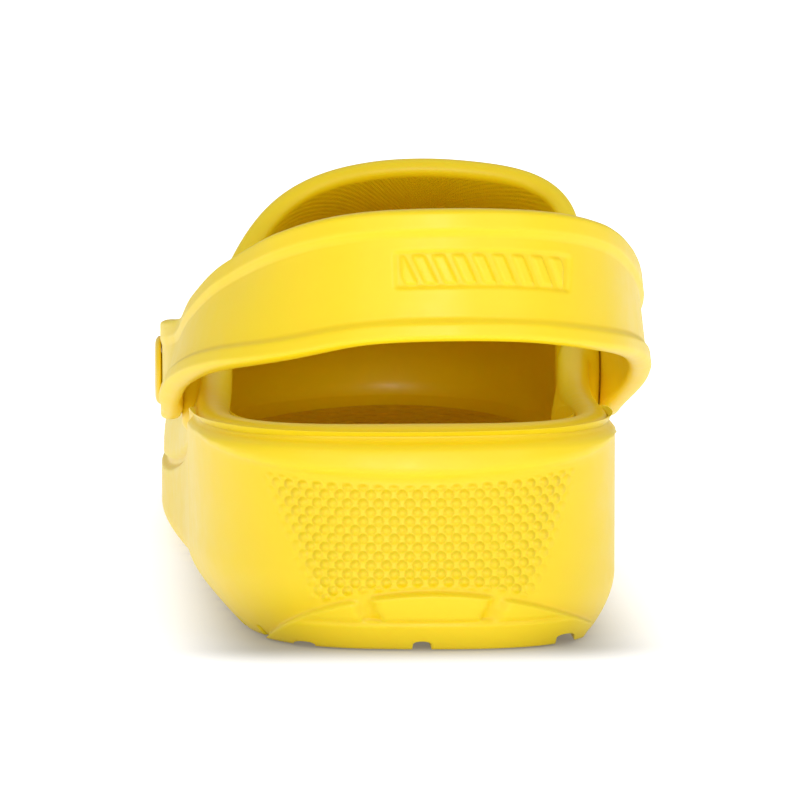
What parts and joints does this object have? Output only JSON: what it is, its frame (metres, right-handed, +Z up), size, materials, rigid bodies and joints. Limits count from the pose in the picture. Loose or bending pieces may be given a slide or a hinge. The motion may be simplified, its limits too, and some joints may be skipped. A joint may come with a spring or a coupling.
{
  "type": "garden clog",
  "caption": "Moulded foam garden clog for the left foot, with a closed slotted toe, an open back, a ribbed strap that swings on side rivets and a loose insole.",
  "frame": {"origin": "middle of the bounding box, on the ground under the sole", "axes": "+Y points to the toe, +X to the medial side, +Z up; the sole stands on z = 0"},
  "size_m": [0.1098, 0.2912, 0.0953],
  "materials": {
    "yellow_eva": "semi-matte moulded foam",
    "strap_eva": "semi-matte moulded foam",
    "insole_eva": "matte foam",
    "rivet_yellow": "satin plastic",
    "rivet_backing_dark": "satin dark plastic"
  },
  "bodies": {
    "clog": {"clog_body": "yellow_eva", "insole": "insole_eva", "rivet_cap_medial": "rivet_yellow", "rivet_cap_lateral": "rivet_yellow", "rivet_backing_medial": "rivet_backing_dark", "rivet_backing_lateral": "rivet_backing_dark"},
    "strap": {"heel_strap": "strap_eva"}
  },
  "joints": [
    {"name": "strap_swing", "type": "hinge", "parent": "clog", "child": "strap", "pos_m": [0, -0.02228, 0.0485], "axis": [-1, 0, 0], "range_deg": [-4.5, 132]}
  ]
}
